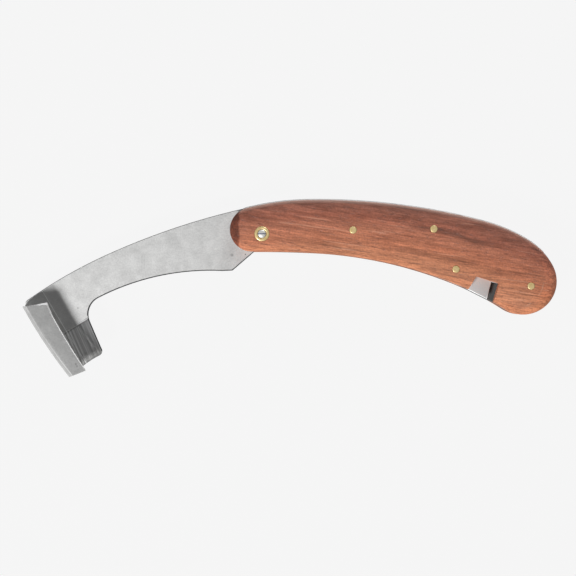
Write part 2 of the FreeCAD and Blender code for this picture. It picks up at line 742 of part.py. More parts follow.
def make_collar(doc, label, front):
    """A brass collar lining the pivot hole of one scale."""
    body = make_body(doc, label)
    inner = dims("slot_half", "liner_thick")
    outer = dims("slot_half", "liner_thick", "scale_thick")
    base = inner if front else Term(-outer.value, "-(" + outer.text + ")")
    sketch = make_sketch(body, label + "_outline", base)
    circle(sketch, dim("collar_r"))
    circle(sketch, dim("pivot_r"))
    length = dims("scale_thick", "collar_proud") if front else dim("scale_thick")
    ring = pad(body, sketch, length, label + "_ring")
    doc.recompute()
    if front:
        height = outer.value + VALUES["collar_proud"]
        bore = VALUES["pivot_r"] + NEAR
        rim = edges_where(ring.Shape, lambda edge: flat_at(edge, height) and edge.Curve.Radius > bore)
        round_edges(body, ring, rim, dim("collar_round"), label + "_lip")
    return body


def place_parts(parts):
    """Move everything so the origin sits under the middle of the whole tool."""
    box = FreeCAD.BoundBox()
    for part in parts:
        box.add(part.Shape.optimalBoundingBox(False, False))
    shift = FreeCAD.Vector(-box.Center.x, -box.Center.y, -box.ZMin)
    for part in parts:
        part.Placement = FreeCAD.Placement(shift, FreeCAD.Rotation())
    print("pivot now at", shift, "size", box.XLength, box.YLength, box.ZLength)


def check_document(doc):
    """Stop if any object failed or any shape is empty or invalid."""
    for item in doc.Objects:
        if "Invalid" in item.State or "Error" in item.State:
            raise RuntimeError("failed object " + item.Name)
        if item.isDerivedFrom("PartDesign::Feature") or item.TypeId == "PartDesign::Body":
            if item.Shape.isNull() or not item.Shape.isValid():
                raise RuntimeError("bad shape " + item.Name)
        if item.TypeId == "Sketcher::SketchObject" and not item.FullyConstrained:
            raise RuntimeError("free sketch " + item.Name)


def build():
    """Build every sub-part and write one file for each."""
    doc = FreeCAD.newDocument("hook_knife")
    make_sheet(doc)
    parts = [make_blade(doc)]
    parts.append(make_scale(doc, "front_scale", True))
    parts.append(make_scale(doc, "back_scale", False))
    parts.append(make_liner(doc, "front_liner", True))
    parts.append(make_liner(doc, "back_liner", False))
    parts.append(make_spring(doc))
    parts.append(make_pivot(doc))
    parts.append(make_collar(doc, "front_pivot_collar", True))
    parts.append(make_collar(doc, "back_pivot_collar", False))
    for pin in PINS:
        parts.append(make_pin(doc, pin))
    doc.recompute()
    place_parts(parts)
    doc.recompute()
    check_document(doc)
    os.makedirs("parts", exist_ok=True)
    for part in parts:
        part.Shape.exportStep("parts/" + part.Label + ".step")
        print(part.Label, round(part.Shape.Volume, 1), len(part.Shape.Faces))


build()
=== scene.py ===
import json
import math

import bmesh
import bpy
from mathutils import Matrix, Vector


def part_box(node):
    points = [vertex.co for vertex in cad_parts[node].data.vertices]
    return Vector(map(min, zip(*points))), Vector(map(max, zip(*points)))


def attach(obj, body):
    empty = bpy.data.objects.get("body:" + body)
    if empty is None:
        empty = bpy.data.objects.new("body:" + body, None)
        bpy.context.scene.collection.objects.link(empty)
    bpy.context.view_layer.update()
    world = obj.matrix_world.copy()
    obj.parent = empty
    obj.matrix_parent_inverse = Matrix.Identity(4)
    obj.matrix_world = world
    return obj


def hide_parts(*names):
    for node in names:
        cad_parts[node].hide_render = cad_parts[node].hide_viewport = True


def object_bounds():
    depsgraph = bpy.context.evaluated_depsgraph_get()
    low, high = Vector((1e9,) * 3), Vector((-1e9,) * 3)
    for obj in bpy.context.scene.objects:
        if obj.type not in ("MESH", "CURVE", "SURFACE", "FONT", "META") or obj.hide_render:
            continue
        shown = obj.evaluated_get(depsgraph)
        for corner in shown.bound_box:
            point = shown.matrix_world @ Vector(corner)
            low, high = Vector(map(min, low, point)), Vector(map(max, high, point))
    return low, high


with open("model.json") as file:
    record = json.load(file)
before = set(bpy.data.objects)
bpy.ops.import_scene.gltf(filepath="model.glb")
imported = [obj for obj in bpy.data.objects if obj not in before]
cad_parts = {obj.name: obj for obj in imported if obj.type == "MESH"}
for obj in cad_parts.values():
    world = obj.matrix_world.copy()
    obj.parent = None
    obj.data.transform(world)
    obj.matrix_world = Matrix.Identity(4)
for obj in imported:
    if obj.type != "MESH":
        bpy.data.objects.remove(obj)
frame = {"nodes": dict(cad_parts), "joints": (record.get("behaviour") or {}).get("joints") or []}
nodes = frame["nodes"]
cad_low, cad_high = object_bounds()

MM = 0.001
PIVOT = Vector(frame["joints"][0]["pos_m"])


def at(x, y, z=0.0):
    """A place given in millimetres from the middle of the blade at the pivot."""
    return PIVOT + Vector((x, y, z)) * MM


def in_mm(point):
    """The same place, counted in millimetres from the middle of the blade at the pivot."""
    return (point - PIVOT) / MM


# ---------------------------------------------------------------- node helpers


def linear(red, green, blue):
    """A display colour, 0 to 255, as scene-linear values."""
    out = []
    for level in (red, green, blue):
        part = level / 255.0
        out.append(part / 12.92 if part <= 0.04045 else ((part + 0.055) / 1.055) ** 2.4)
    return tuple(out)


class Graph:
    """Small helper that adds shader nodes to one material and links them."""

    def __init__(self, name):
        self.material = bpy.data.materials.new(name)
        self.material.use_nodes = True
        self.tree = self.material.node_tree
        self.shader = self.tree.nodes["Principled BSDF"]
        coords = self.tree.nodes.new("ShaderNodeTexCoord")
        moved = self.vector("SUBTRACT", coords.outputs["Object"], tuple(PIVOT))
        self.place = self.vector("MULTIPLY", moved, (1000, 1000, 1000))
        self.x, self.y, self.z = self.parts(self.place)
        geometry = self.tree.nodes.new("ShaderNodeNewGeometry")
        self.right, self.back, self.up = self.parts(geometry.outputs["Normal"])

    def off_middle(self):
        """How far above (+) or below (-) the handle's middle line, in mm."""
        return self.math("SUBTRACT", self.plan_distance(ARC_CENTRE), ARC_RADIUS)

    def plan_distance(self, centre):
        """How far from a place in mm, seen from straight above."""
        flat = self.vector("MULTIPLY", self.place, (1, 1, 0))
        return self.vector("DISTANCE", flat, (centre[0], centre[1], 0))

    def turned_away(self):
        """0 on level faces, 1 on all that lean."""
        return self.span(self.math("ABSOLUTE", self.up), 0.93, 0.995, 1.0, 0.0)

    def plug(self, socket, value):
        if isinstance(value, bpy.types.NodeSocket):
            self.tree.links.new(value, socket)
        elif isinstance(value, tuple) and len(value) == 3 and socket.type == "RGBA":
            socket.default_value = (*value, 1.0)
        else:
            socket.default_value = value

    def vector(self, operation, first, second):
        made = self.tree.nodes.new("ShaderNodeVectorMath")
        made.operation = operation
        self.plug(made.inputs[0], first)
        self.plug(made.inputs[1], second)
        return made.outputs["Value" if operation == "DISTANCE" else "Vector"]

    def math(self, operation, first, second=0.0, third=0.0, clamp=False):
        made = self.tree.nodes.new("ShaderNodeMath")
        made.operation = operation
        made.use_clamp = clamp
        for socket, value in zip(made.inputs, (first, second, third)):
            self.plug(socket, value)
        return made.outputs[0]

    def parts(self, vector):
        made = self.tree.nodes.new("ShaderNodeSeparateXYZ")
        self.plug(made.inputs[0], vector)
        return made.outputs[0], made.outputs[1], made.outputs[2]

    def turned(self, angle, origin=(0, 0, 0)):
        """Millimetres about an origin, along and across a direction given in degrees."""
        made = self.tree.nodes.new("ShaderNodeMapping")
        made.vector_type = "TEXTURE"
        self.plug(made.inputs["Vector"], self.place)
        made.inputs["Location"].default_value = origin
        made.inputs["Rotation"].default_value = (0, 0, math.radians(angle))
        return made.outputs[0]

    def noise(self, place, period, detail=2.0, roughness=0.5, distortion=0.0):
        """Noise whose features are period long: one number, or one for each direction."""
        periods = period if isinstance(period, tuple) else (period, period, period)
        made = self.tree.nodes.new("ShaderNodeTexNoise")
        scaled = self.vector("DIVIDE", place, periods)
        self.plug(made.inputs["Vector"], scaled)
        made.inputs["Scale"].default_value = 1.0
        made.inputs["Detail"].default_value = detail
        made.inputs["Roughness"].default_value = roughness
        made.inputs["Distortion"].default_value = distortion
        return made.outputs["Fac"]

    def ramp(self, value, *stops):
        made = self.tree.nodes.new("ShaderNodeValToRGB")
        self.plug(made.inputs[0], value)
        ramp = made.color_ramp
        while len(ramp.elements) < len(stops):
            ramp.elements.new(0.5)
        for element, (position, colour) in zip(ramp.elements, stops):
            element.position = position
            level = colour if isinstance(colour, tuple) else (colour, colour, colour)
            element.color = (*level, 1.0)
        return made.outputs["Color"]

    def span(self, value, low, high, start=0.0, end=1.0):
        """start below low, end above high, smooth between."""
        made = self.tree.nodes.new("ShaderNodeMapRange")
        made.interpolation_type = "SMOOTHSTEP"
        self.plug(made.inputs["Value"], value)
        for name, level in zip(("From Min", "From Max", "To Min", "To Max"), (low, high, start, end)):
            made.inputs[name].default_value = level
        return made.outputs["Result"]

    def between(self, value, low, high, soft):
        """1 from low to high, falling to 0 over the soft width outside."""
        rise = self.span(value, low - soft, low)
        fall = self.span(value, high, high + soft, 1.0, 0.0)
        return self.math("MULTIPLY", rise, fall)

    def both(self, *masks):
        out = masks[0]
        for mask in masks[1:]:
            out = self.math("MULTIPLY", out, mask)
        return out

    def mix(self, amount, first, second, blend="MIX"):
        made = self.tree.nodes.new("ShaderNodeMix")
        made.data_type = "RGBA"
        made.blend_type = blend
        by_name = {item.identifier: item for item in made.inputs}
        self.plug(by_name["Factor_Float"], amount)
        self.plug(by_name["A_Color"], first)
        self.plug(by_name["B_Color"], second)
        return {item.identifier: item for item in made.outputs}["Result_Color"]

    def paint(self, colour, mask, amount, over):
        """Lays a colour over another where the mask is, at a share of its strength."""
        return self.mix(self.math("MULTIPLY", mask, amount), colour, over)

    def spot(self, centre, radius):
        """1 at a centre, 0 outside the radius."""
        away = self.vector("DISTANCE", self.place, centre)
        return self.span(away, radius * 0.35, radius, 1.0, 0.0)

    def bump(self, height, distance):
        made = self.tree.nodes.new("ShaderNodeBump")
        made.inputs["Strength"].default_value = 1.0
        made.inputs["Distance"].default_value = distance * MM
        self.plug(made.inputs["Height"], height)
        self.link(made.outputs[0], "Normal")

    def link(self, value, name):
        self.tree.links.new(value, self.shader.inputs[name])

    def set(self, **values):
        """Uniform values go straight on the shader's sockets."""
        for name, value in values.items():
            self.shader.inputs[name.replace("_", " ")].default_value = value


# ---------------------------------------------------------------- handle form

ARC_CENTRE = Vector((22.0, -213.0))
ARC_RADIUS = 215.0


def off_middle(x, y):
    """How far a place is above (+) or below (-) the handle's middle line, in mm."""
    return (Vector((x, y)) - ARC_CENTRE).length - ARC_RADIUS


CROWN_SPREAD = 120.0
FACET_X = -8.9
FACET_SLOPE = 0.35
BUTT_CENTRE = Vector((99.0, -17.5))
BUTT_RADIUS = 12.5
BUTT_FALL = 0.04
BUTT_FADE = 8.0


def crown(x, y):
    """How far the handle's front face falls away from its middle line and at its ends, in mm."""
    fall = off_middle(x, y) ** 2 / CROWN_SPREAD
    facet = max(FACET_X - x, 0.0) * FACET_SLOPE
    beyond = max((Vector((x, y)) - BUTT_CENTRE).length - BUTT_RADIUS, 0.0)
    at_butt = min(max((x - BUTT_CENTRE.x) / BUTT_FADE, 0.0), 1.0)
    return fall + facet + BUTT_FALL * beyond ** 2 * at_butt


# ---------------------------------------------------------------- materials


def set_roughness(graph, grit, face, side):
    """Roughness varies with the fine grit on the faces and rises on the rounded sides."""
    on_face = graph.math("MULTIPLY_ADD", grit, 0.2, face)
    rise = graph.math("MULTIPLY", graph.turned_away(), side - face)
    graph.link(graph.math("ADD", on_face, rise), "Roughness")


def wood_material():
    """Oiled reddish hardwood: long grain, short pores, a dark streak by the spring pin."""
    graph = Graph("rosewood")
    grain = graph.turned(-9.0)
    streaks = graph.noise(grain, (30, 1.9, 1.9), 2.0, 0.5, 0.6)
    lines = graph.noise(grain, (20, 0.95, 0.95), 3.0, 0.68, 0.25)
    pores = graph.noise(grain, (3.0, 0.5, 0.5), 1.0)
    flecks = graph.noise(grain, (4.0, 0.65, 0.65), 2.0, 0.6)
    pale = graph.noise(grain, (20, 0.8, 0.8), 1.0, 0.5, 0.4)
    speckle = graph.noise(graph.place, 0.7, 1.0)
    cloud = graph.noise(graph.place, (9, 4, 4), 2.0)
    # painted shade and light: darker towards the spine, which leans away from the key lamp, paler towards the
    # belly, which faces it
    across = graph.math("MULTIPLY_ADD", graph.off_middle(), 1 / 20.0, 0.5, clamp=True)
    colour = graph.ramp(
        across,
        (0.05, linear(190, 123, 89)),
        (0.32, linear(181, 112, 82)),
        (0.60, linear(175, 110, 85)),
        (0.78, linear(155, 93, 73)),
        (0.95, linear(143, 89, 72)),
    )
    for value, dark, light in (
        (streaks, (0.32, 0.80), (0.7, 1.14)),
        (lines, (0.30, 0.64), (0.7, 1.24)),
        (flecks, (0.25, 0.76), (0.75, 1.24)),
        (speckle, (0.25, 0.84), (0.75, 1.16)),
    ):
        tone = graph.ramp(value, dark, (0.5, 1.0), light)
        colour = graph.mix(1.0, colour, tone, "MULTIPLY")
    warm = graph.ramp(cloud, (0.3, (0.97, 0.93, 0.90)), (0.5, (1.0, 1.0, 1.0)), (0.7, (1.05, 1.06, 1.04)))
    colour = graph.mix(1.0, colour, warm, "MULTIPLY")
    colour = graph.mix(graph.span(pale, 0.64, 0.74, 0.0, 0.35), colour, linear(214, 160, 134))
    dots = graph.span(pores, 0.60, 0.70)
    colour = graph.paint(colour, dots, 0.36, linear(104, 56, 42))
    # the dark streak through the spring pin towards the butt
    sx, sy, _ = graph.parts(graph.turned(-13.5, (62, 3.0, 0)))
    wander = graph.noise(grain, (9, 2.4, 2.4), 3.0)
    centred = graph.math("SUBTRACT", sy, 2.5)
    wavy = graph.math("ABSOLUTE", graph.math("MULTIPLY_ADD", wander, 5.0, centred))
    streak = graph.both(
        graph.span(wavy, 0.2, 2.0, 1.0, 0.0),
        graph.span(sx, -12.0, 8.0),
        graph.span(sx, 22.0, 40.0, 1.0, 0.0),
    )
    colour = graph.paint(colour, streak, 0.62, linear(86, 56, 46))
    # painted reflection: the rim along the spine is paler, for the pale floor seen in it
    rim = graph.both(graph.span(graph.back, 0.45, 0.95), graph.span(graph.up, 0.05, 0.2))
    colour = graph.paint(colour, rim, 0.45, linear(222, 190, 176))
    # painted shade: the front end is darker, with a ragged border, as its facet lacks the top's sheen; the
    # butt is a little lighter
    ragged = graph.math("MULTIPLY_ADD", graph.noise(graph.place, 1.6, 2.0), 1.2, graph.x)
    front_end_shade = graph.span(ragged, FACET_X, FACET_X + 1.0, 1.0, 0.0)
    from_butt = graph.plan_distance(BUTT_CENTRE)
    past_butt = graph.span(from_butt, BUTT_RADIUS - 0.1, BUTT_RADIUS + 0.9)
    butt_end = graph.both(past_butt, graph.span(graph.x, 101.0, 106.0))
    colour = graph.mix(front_end_shade, colour, (0.36, 0.26, 0.21), "MULTIPLY")
    colour = graph.mix(butt_end, colour, (1.18, 1.14, 1.12), "MULTIPLY")
    # a broken pale line round the lower half of the butt
    low_end = graph.both(graph.span(graph.x, 103.0, 107.0), graph.span(graph.y, -23.0, -18.0, 1.0, 0.0))
    broken = graph.span(graph.noise(graph.place, 2.5, 2.0), 0.42, 0.62)
    ring = graph.between(from_butt, BUTT_RADIUS - 0.35, BUTT_RADIUS - 0.1, 0.25)
    pale_butt_line = graph.both(ring, low_end, broken)
    colour = graph.paint(colour, pale_butt_line, 0.45, linear(226, 178, 152))
    graph.link(colour, "Base Color")
    set_roughness(graph, lines, 0.42, 0.72)
    relief = graph.math("MULTIPLY_ADD", dots, -1.0, graph.math("MULTIPLY", lines, 0.5))
    graph.bump(relief, 0.06)
    return graph.material


def worn_steel(name, level, spread=0.06):
    """Satin steel with a mottled tone. Returns the graph, the colour and the fine grit."""
    graph = Graph(name)
    cloud = graph.noise(graph.place, 4.5, 4.0, 0.62)
    grit = graph.noise(graph.place, 0.55, 2.0, 0.6)
    tone = graph.math("MULTIPLY_ADD", graph.math("SUBTRACT", cloud, 0.5), spread * 5, 1.0)
    fine = graph.math("MULTIPLY_ADD", graph.math("SUBTRACT", grit, 0.5), 0.35, 1.0)
    tone = graph.math("MULTIPLY", tone, fine)
    colour = graph.mix(1.0, (level, level, level * 0.99), tone, "MULTIPLY")
    return graph, colour, grit


def paint_side_shade(graph, colour, low, high, amount):
    """Painted shade: surfaces that face sideways are darker, and the eased rims between are darkest."""
    lean = graph.math("ABSOLUTE", graph.up)
    side = graph.span(lean, low, high, 1.0, 0.0)
    rim_shade = graph.mix(graph.span(lean, 0.1, 0.4), (0.26, 0.26, 0.26), (0.06, 0.06, 0.062))
    return graph.paint(colour, side, amount, rim_shade)


# the hook's far corner, the channel's heading, that of the bevel's fine lines, and the centre
# of the cutting edge's arc; places are in mm from the pivot and headings in degrees
HOOK_CORNER = (-94.8, -28.7, 0)
HOOK_DIRECTION = -59.1
LINES_DIRECTION = -67.0
CUTTING_ARC = (-46.96, -84.0)


def blade_material():
    """The blade: satin plate, duller hook face and ground bevel.

    The tones of the bevel and of the plate beside the wall are painted light and shade, set one
    by one. They stay in place whatever the light does.
    """
    graph, colour, grit = worn_steel("blade_steel", 0.80, 0.10)
    _, across, _ = graph.parts(graph.turned(HOOK_DIRECTION))
    face = graph.both(graph.span(graph.z, 7.5, 7.9), graph.span(graph.up, 0.90, 0.995))
    colour = graph.mix(face, colour, (0.50, 0.50, 0.50), "MULTIPLY")
    # fine parallel lines on the bevel
    scratch = graph.noise(graph.turned(LINES_DIRECTION), (60, 0.62, 60), 1.0, 0.5)
    ground = graph.both(
        graph.span(graph.z, 0.93, 0.98, 1.0, 0.0),
        graph.span(graph.z, -0.99, -0.93),
        graph.span(graph.up, 0.97, 0.985),
    )
    bevel_low_end = graph.span(graph.z, -0.62, -0.1, 1.0, 0.0)
    lines = graph.ramp(scratch, (0.34, 0.72), (0.5, 1.0), (0.66, 1.32))
    start_line = graph.span(graph.z, 0.86, 0.93)
    # painted light and shade: the bevel is paler inside the wall's shadow and darker where the key lamp
    # reaches it, and the two come closer at its low end
    away = graph.span(graph.math("MULTIPLY_ADD", graph.z, 1.2, across), -81.4, -80.2)
    wall_shadow_tone = graph.mix(bevel_low_end, (0.60, 0.60, 0.60), (0.36, 0.36, 0.35))
    bright = graph.mix(away, wall_shadow_tone, graph.mix(bevel_low_end, (0.20, 0.20, 0.20), (0.30, 0.30, 0.29)))
    bright = graph.paint(bright, start_line, 0.45, (0.10, 0.10, 0.10))
    colour = graph.mix(ground, colour, graph.mix(1.0, bright, lines, "MULTIPLY"))
    # painted shade: the plate's top is darker beside the wall, where the hook throws its shadow
    top = graph.between(graph.z, 0.98, 1.02, 0.01)
    wall_shade = graph.both(top, graph.span(across, -82.5, -81.0, 1.0, 0.0))
    colour = graph.paint(colour, wall_shade, 0.5, (0.30, 0.30, 0.30))
    # a dark line along the cutting edge
    keen = graph.both(ground, graph.span(graph.plan_distance(CUTTING_ARC), 40.3, 40.9, 1.0, 0.0))
    colour = graph.paint(colour, keen, 0.7, (0.16, 0.16, 0.16))
    # painted highlight: a bright hairline along the foot of the wall
    plate = graph.span(graph.z, 1.3, 1.8, 1.0, 0.0)
    foot = graph.both(plate, graph.between(across, -87.05, -86.85, 0.08))
    colour = graph.paint(colour, foot, 0.6, (1.0, 1.0, 1.0))
    # painted shade: the plate's sides are dark, most of all where they face the belly or the handle
    to_front = graph.span(graph.back, -0.10, -0.03, 1.0, 0.0)
    belly = graph.math("MAXIMUM", to_front, graph.span(graph.right, 0.05, 0.15))
    side_shade = paint_side_shade(graph, colour, 0.60, 0.95, 0.8)
    rim_shade = graph.mix(belly, side_shade, paint_side_shade(graph, colour, 0.92, 0.9995, 1.0))
    off_corner = graph.span(graph.plan_distance(HOOK_CORNER), 1.2, 2.4)
    colour = graph.mix(graph.both(plate, off_corner), colour, rim_shade)
    # painted shade and highlights: the outside of the bend is darkened against the key lamp's glare, the lip
    # and the free edge are painted bright
    bend = graph.both(graph.span(graph.z, 4.0, 5.0), graph.span(graph.up, 0.90, 0.995, 1.0, 0.0))
    outer = graph.span(across, -91.0, -90.0, 1.0, 0.0)
    _, lip_y, _ = graph.parts(graph.turned(3.5, HOOK_CORNER))
    lip = graph.both(graph.span(graph.z, 6.6, 7.0), graph.span(lip_y, -0.05, 0.1))
    colour = graph.mix(lip, colour, (1.0, 1.0, 1.0))
    rounded = graph.both(bend, outer)
    colour = graph.mix(rounded, colour, (0.52, 0.52, 0.52), "MULTIPLY")
    free_edge = graph.both(bend, graph.span(across, -88.6, -88.2), graph.span(graph.up, 0.3, 0.5))
    colour = graph.mix(free_edge, colour, (1.0, 1.0, 1.0))
    # small dark spots: a place, a radius and a strength for each
    for x, y, z, radius, amount in (
        (-73.6, -29.4, 1.0, 0.55, 0.3),
        (-73.4, -51.4, 8.7, 0.55, 0.45),
        (-72.9, -52.2, 8.7, 0.5, 0.45),
        (-12.1, -8.2, 1.0, 0.9, 0.35),
        (-6.7, -8.0, 1.0, 0.4, 0.7),
    ):
        colour = graph.paint(colour, graph.spot((x, y, z), radius), amount, (0.10, 0.10, 0.10))
    graph.link(colour, "Base Color")
    bare = graph.both(ground, graph.math("SUBTRACT", 1.0, bevel_low_end))
    on_face = graph.math("MULTIPLY_ADD", grit, 0.2, 0.36)
    graph.link(graph.math("MULTIPLY_ADD", graph.turned_away(), 0.5, on_face), "Roughness")
    metal = graph.math("MULTIPLY_ADD", bare, -0.15, 0.5)
    metal = graph.math("MULTIPLY_ADD", free_edge, -0.5, metal, clamp=True)
    graph.link(graph.math("MULTIPLY_ADD", rounded, -0.35, metal), "Metallic")
    relief = graph.math("MULTIPLY_ADD", graph.both(ground, scratch), 2.0, graph.math("MULTIPLY", grit, 0.5))
    graph.bump(relief, 0.03)
    return graph.material


def frame_material():
    """Liners and spring: satin steel, pale on the spine's upper rim and in the notch."""
    graph, colour, grit = worn_steel("frame_steel", 0.72)
    # painted reflection: the spine's upper rim is near white, for the pale floor seen in it
    spine = graph.both(graph.span(graph.off_middle(), 7.0, 8.5), graph.span(graph.up, 0.5, 0.8))
    colour = graph.mix(spine, colour, (1.0, 0.97, 0.95))
    # painted shade: sideways faces and their eased rims are darker
    colour = paint_side_shade(graph, colour, 0.3, 0.8, 0.72)
    # painted shade: near-black below the front liner's face, for the shade inside the slot, but it lies on
    # the outer sides as well
    below = graph.span(graph.z, 1.2, 2.2, 1.0, 0.0)
    before_butt = graph.span(graph.x, 116.0, 116.5, 1.0, 0.0)
    slot_shade = graph.both(below, graph.math("SUBTRACT", 1.0, spine), before_butt)
    colour = graph.paint(colour, slot_shade, 0.85, (0.05, 0.05, 0.05))
    # painted light: the liner's face in the notch is paler, lightest at the left of its mouth, where the key
    # lamp comes in
    nx, ny, _ = graph.parts(graph.turned(-21.5, (87.0, -23.0, 0)))
    in_notch = graph.both(graph.between(nx, -9.0, 7.5, 0.5), graph.between(ny, -9.0, 7.0, 0.5))
    notch = graph.both(in_notch, graph.span(graph.z, 2.0, 2.1))
    slope = graph.math("MULTIPLY_ADD", graph.math("ADD", nx, ny), -0.06, 0.5, clamp=True)
    notch_light = graph.ramp(slope, (0.2, 0.72), (0.8, 1.0))
    colour = graph.mix(notch, colour, notch_light)
    graph.link(colour, "Base Color")
    set_roughness(graph, grit, 0.34, 0.6)
    graph.bump(grit, 0.02)
    graph.link(graph.math("MULTIPLY_ADD", spine, -0.5, 0.5), "Metallic")
    return graph.material


def brass_material():
    """Rubbed brass, clouded, with darker sides."""
    graph = Graph("brass")
    cloud = graph.noise(graph.place, 0.9, 3.0)
    colour = graph.ramp(cloud, (0.3, linear(222, 194, 132)), (0.7, linear(244, 220, 164)))
    side = graph.span(graph.up, 0.35, 0.8, 1.0, 0.0)
    colour = graph.paint(colour, side, 0.7, linear(120, 96, 50))
    graph.link(colour, "Base Color")
    graph.link(graph.math("MULTIPLY_ADD", cloud, -0.2, 0.5), "Roughness")
    graph.bump(cloud, 0.03)
    graph.set(Metallic=0.35)
    return graph.material


def pivot_material():
    """Burnished pivot steel with a bluish line across its head."""
    graph = Graph("pivot_steel")
    grit = graph.noise(graph.place, 0.5, 2.0)
    colour = graph.ramp(grit, (0.3, (0.80, 0.80, 0.77)), (0.7, (0.92, 0.92, 0.88)))
    line = graph.span(graph.math("ABSOLUTE", graph.y), 0.16, 0.30, 1.0, 0.0)
    colour = graph.paint(colour, line, 0.85, linear(104, 110, 140))
    graph.link(colour, "Base Color")
    graph.link(graph.math("MULTIPLY_ADD", grit, 0.15, 0.34), "Roughness")
    graph.set(Metallic=0.5)
    return graph.material


WOOD = wood_material()
BLADE_STEEL = blade_material()
FRAME_STEEL = frame_material()
PIVOT_STEEL = pivot_material()
BRASS = brass_material()


# ---------------------------------------------------------------- meshes

# an area in square millimetres, then radii in mm; LEVEL is the least upright share of a normal
LARGE_FACE = 100.0
LEVEL = 0.95
PIN_RADIUS = 1.49
PIVOT_RADIUS = 1.62
COLLAR_BORE = 1.72


def place_piece(name, mesh, material, body, slot, *replaced):
    """Puts a finished mesh in the scene as a piece that stands for CAD nodes."""
    data = bpy.data.meshes.new(name)
    mesh.to_mesh(data)
    mesh.free()
    if "custom_normal" in data.attributes:
        data.attributes.remove(data.attributes["custom_normal"])
    for face in data.polygons:
        face.use_smooth = True
    data.materials.append(material)
    piece = bpy.data.objects.new(name, data)
    bpy.context.scene.collection.objects.link(piece)
    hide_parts(*replaced)
    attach(piece, body)
    return piece


def copy_mesh(name):
    """A clean copy of a CAD node's mesh: joined corners, flat faces in one piece."""
    mesh = bmesh.new()
    mesh.from_mesh(nodes[name].data)
    for face in mesh.faces:
        face.material_index = 0
    bmesh.ops.remove_doubles(mesh, verts=mesh.verts, dist=2e-6)
    bmesh.ops.dissolve_limit(mesh, angle_limit=math.radians(0.5), verts=mesh.verts, edges=mesh.edges)
    return mesh


def flat_faces(mesh, least):
    """The flat faces of at least that many square millimetres, largest first."""
    found = [face for face in mesh.faces if face.calc_area() > least * MM * MM]
    return sorted(found, key=lambda face: -face.calc_area())


def round_rim(mesh, face, width, fall):
    """Rounds a flat face's rim where it meets upright sides, in two steps."""
    normal = face.normal.copy()

    def is_free(vert):
        others = [other for other in vert.link_faces if other != face]
        upright = all(abs(other.normal.dot(normal)) < 0.3 for other in others)
        heights = [(edge.other_vert(vert).co - vert.co).dot(normal) for edge in vert.link_edges]
        return upright and max(heights) < 1e-5

    outer = {vert for vert in face.verts if is_free(vert)}
    moves = {vert: fall for vert in outer}
    ring = outer
    for share, drop in ((0.4, 0.28), (0.6, 0.0)):
        bmesh.ops.inset_individual(mesh, faces=[face], thickness=width * share * MM, use_even_offset=True)
        inner = {edge.other_vert(vert) for vert in ring for edge in vert.link_edges} & set(face.verts)
        moves.update({vert: fall * drop for vert in inner})
        ring = inner
    for vert, distance in moves.items():
        vert.co -= normal * distance * MM


def shade(piece, sharp):
    """Smooth shading in which flat faces stay flat; edges sharper than the angle stay crisp."""
    mesh = bmesh.new()
    mesh.from_mesh(piece.data)
    for edge in mesh.edges:
        edge.smooth = not edge.is_manifold or edge.calc_face_angle() < math.radians(sharp)
    mesh.to_mesh(piece.data)
    mesh.free()
    shading = piece.modifiers.new("flat faces stay flat", "WEIGHTED_NORMAL")
    shading.weight = 100
    shading.keep_sharp = True


def cut_grid(mesh, step):
    """Cuts every face along a square grid so that the surface can be shaped."""
    low = [min(vert.co[axis] for vert in mesh.verts) for axis in (0, 1)]
    high = [max(vert.co[axis] for vert in mesh.verts) for axis in (0, 1)]
    for axis in (0, 1):
        normal = Vector((1, 0, 0)) if axis == 0 else Vector((0, 1, 0))
        place = low[axis] + step * MM / 2
        while place < high[axis]:
            geometry = mesh.verts[:] + mesh.edges[:] + mesh.faces[:]
            bmesh.ops.bisect_plane(mesh, geom=geometry, dist=1e-7, plane_co=normal * place, plane_no=normal)
            place += step * MM


blade_mesh = copy_mesh("hook_blade")


def blade_corner(x, y, z):
    """The blade's corner nearest to a place."""
    return min(blade_mesh.verts, key=lambda vert: (vert.co - at(x, y, z)).length)


# the end of the leg is drawn out into a thin lip
bend_inside = blade_corner(-92.6, -28.6, 7.3)
bend_outside = blade_corner(-92.7, -28.6, 8.7)
hook_end = [face for face in bend_inside.link_faces if face in bend_outside.link_faces][0]
bmesh.utils.face_split(hook_end, bend_inside, bend_outside)
blade_corner(-85.0, -28.1, 7.3).co += Vector((0.1, 1.0, 0.2)) * MM
for face in flat_faces(blade_mesh, LARGE_FACE):
    if abs(face.normal.z) > LEVEL and len(face.verts) > 8:
        height = in_mm(face.calc_center_median()).z
        if height > 8:
            round_rim(blade_mesh, face, 0.36, 0.15)
        elif abs(height) < 1.5:
            round_rim(blade_mesh, face, 0.5, 0.5)
blade_mesh.normal_update()
# the insets leave bent faces with many corners, which shade badly unless they are cut up
bmesh.ops.dissolve_limit(
    blade_mesh, angle_limit=math.radians(0.05), verts=blade_mesh.verts, edges=blade_mesh.edges
)
bmesh.ops.triangulate(blade_mesh, faces=[face for face in blade_mesh.faces if len(face.verts) > 4])
blade = place_piece("blade_piece", blade_mesh, BLADE_STEEL, "blade", "blade_steel", "hook_blade")
shade(blade, 50.0)

for name in ("front_liner", "back_liner", "back_spring"):
    mesh = copy_mesh(name)
    for face in flat_faces(mesh, LARGE_FACE):
        if abs(face.normal.z) > LEVEL:
            round_rim(mesh, face, 0.45, 0.45)
    piece = place_piece(name + "_piece", mesh, FRAME_STEEL, "handle", "frame_steel", name)
    shade(piece, 50.0)

# the front scale is crowned: its face falls away from the middle line
front = copy_mesh("front_scale")
cut_grid(front, 2.0)
scale_low, scale_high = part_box("front_scale")
for vert in front.verts:
    place = in_mm(vert.co)
    share = (vert.co.z - scale_low.z) / (scale_high.z - scale_low.z)
    vert.co.z -= crown(place.x, place.y) * MM * share
piece = place_piece("front_scale_piece", front, WOOD, "handle", "wood", "front_scale")
shade(piece, 40.0)
piece = place_piece("back_scale_piece", copy_mesh("back_scale"), WOOD, "handle", "wood", "back_scale")
shade(piece, 40.0)


